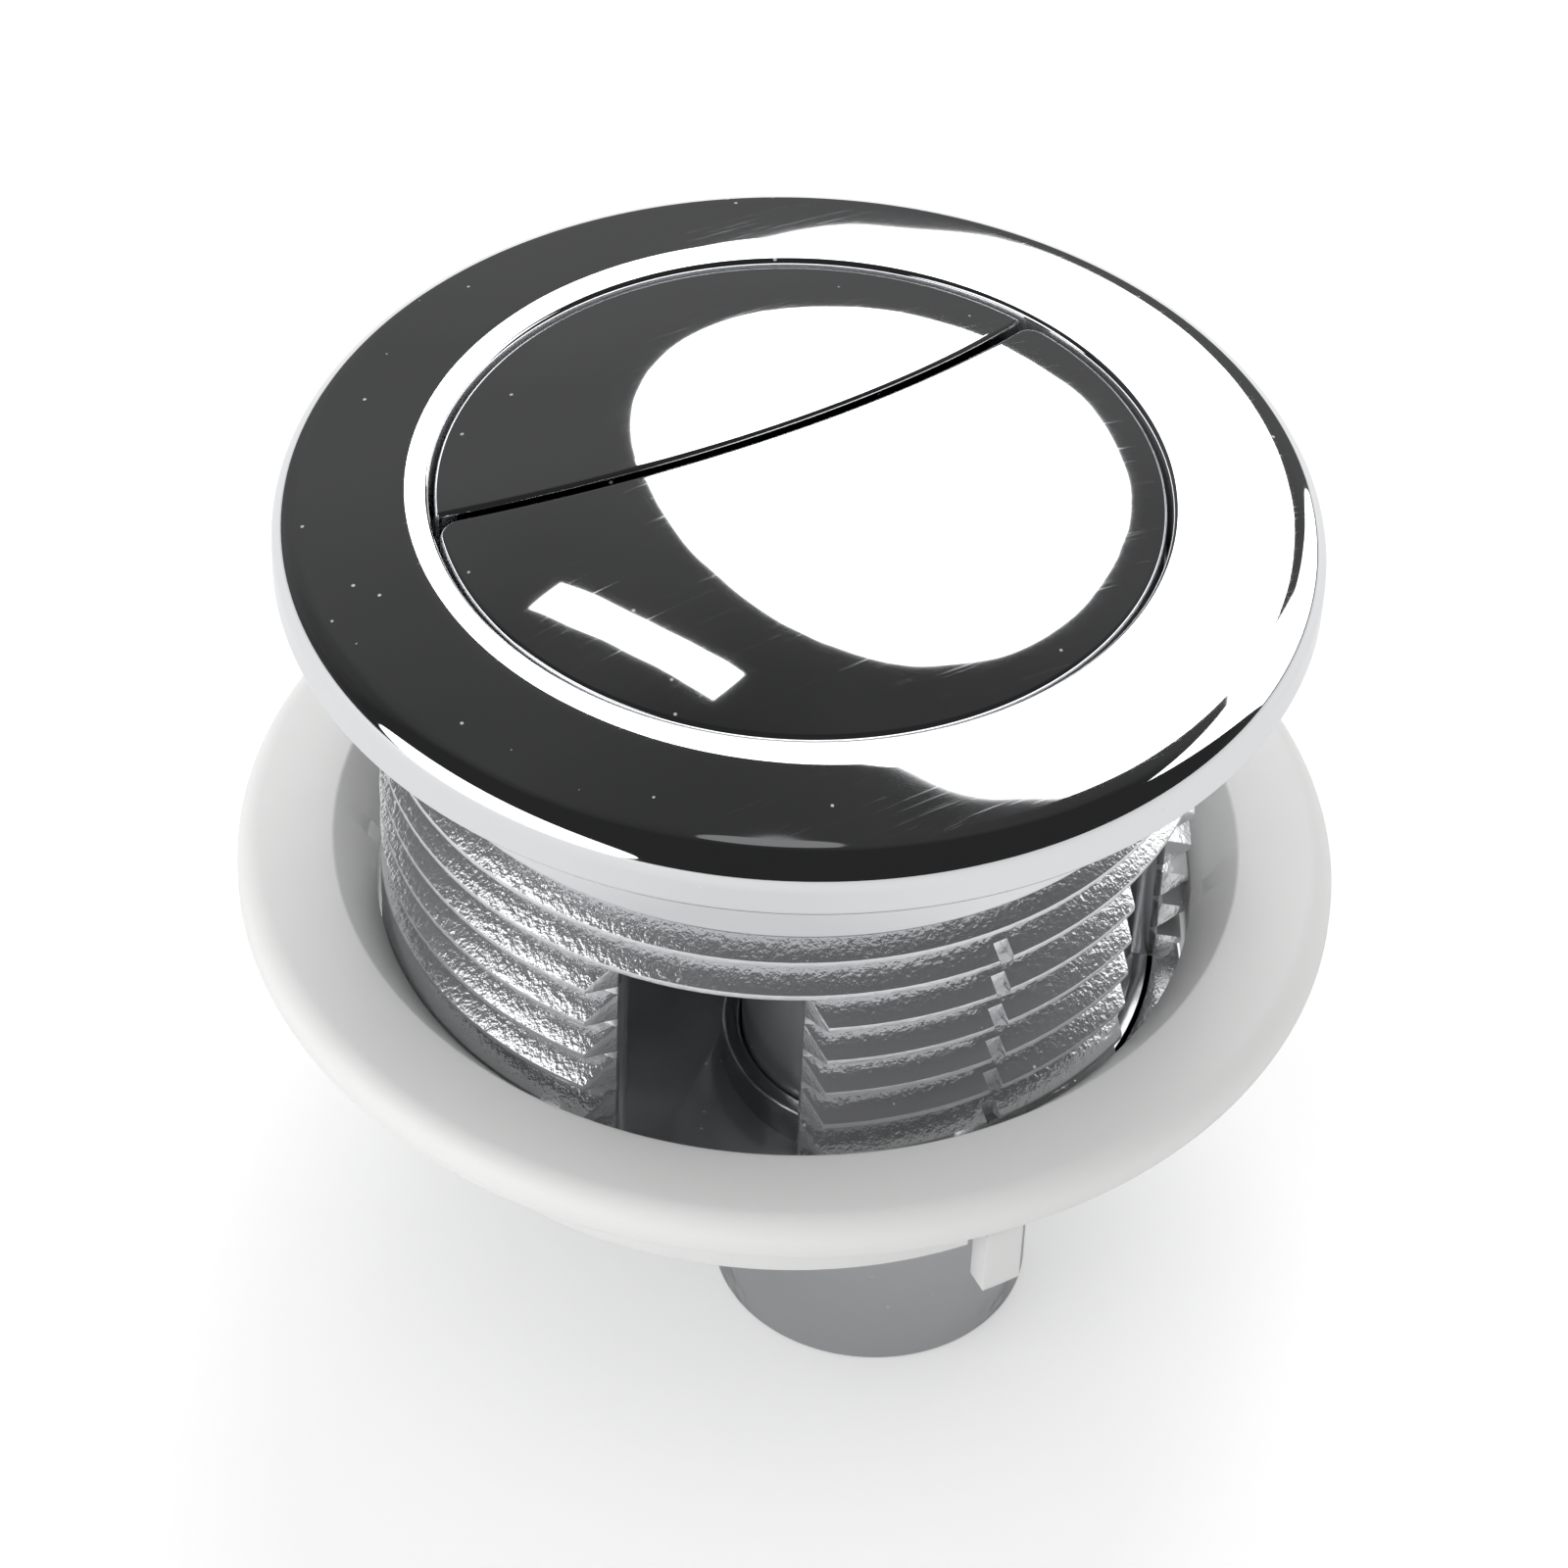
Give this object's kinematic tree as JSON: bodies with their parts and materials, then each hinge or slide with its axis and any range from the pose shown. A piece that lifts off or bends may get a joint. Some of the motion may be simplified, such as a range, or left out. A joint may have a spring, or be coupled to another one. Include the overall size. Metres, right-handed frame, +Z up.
{
  "type": "dual flush push button for a cistern lid",
  "caption": "Round push button unit for a cistern lid: domed chrome bezel on a windowed, threaded skirt, twin sprung buttons split by a curve, and a white flanged clamp nut.",
  "frame": {"origin": "on the button's axis, in the plane where the bezel's rim sits on the lid", "axes": "+Z up out of the lid, +Y towards the half flush button, +X along the split"},
  "size_m": [0.0784, 0.0784, 0.0645],
  "materials": {
    "plated_housing": "bright chrome plate on ABS",
    "plated_button": "bright chrome plate on ABS",
    "white_acetal": "moulded white acetal",
    "spring_steel": "drawn stainless wire",
    "white_nut": "moulded translucent white polypropylene"
  },
  "bodies": {
    "housing": {"housing": "plated_housing"},
    "full_flush": {"full_flush_button": "plated_button", "full_flush_pusher": "white_acetal", "full_flush_spring": "spring_steel"},
    "half_flush": {"half_flush_button": "plated_button", "half_flush_pusher": "white_acetal", "half_flush_spring": "spring_steel"},
    "nut": {"clamp_nut": "white_nut"}
  },
  "joints": [
    {"name": "full_flush_press", "type": "slide", "parent": "housing", "child": "full_flush", "axis": [0, 0, -1], "range_m": [0, 0.005], "stiffness_N_per_m": 600, "springref_m": -0.005, "deforming": ["full_flush_spring"]},
    {"name": "half_flush_press", "type": "slide", "parent": "housing", "child": "half_flush", "axis": [0, 0, -1], "range_m": [0, 0.005], "stiffness_N_per_m": 600, "springref_m": -0.005, "deforming": ["half_flush_spring"]},
    {"name": "nut_travel", "type": "slide", "parent": "housing", "child": "nut", "axis": [0, 0, 1], "range_m": [-0.008, 0.021]}
  ]
}
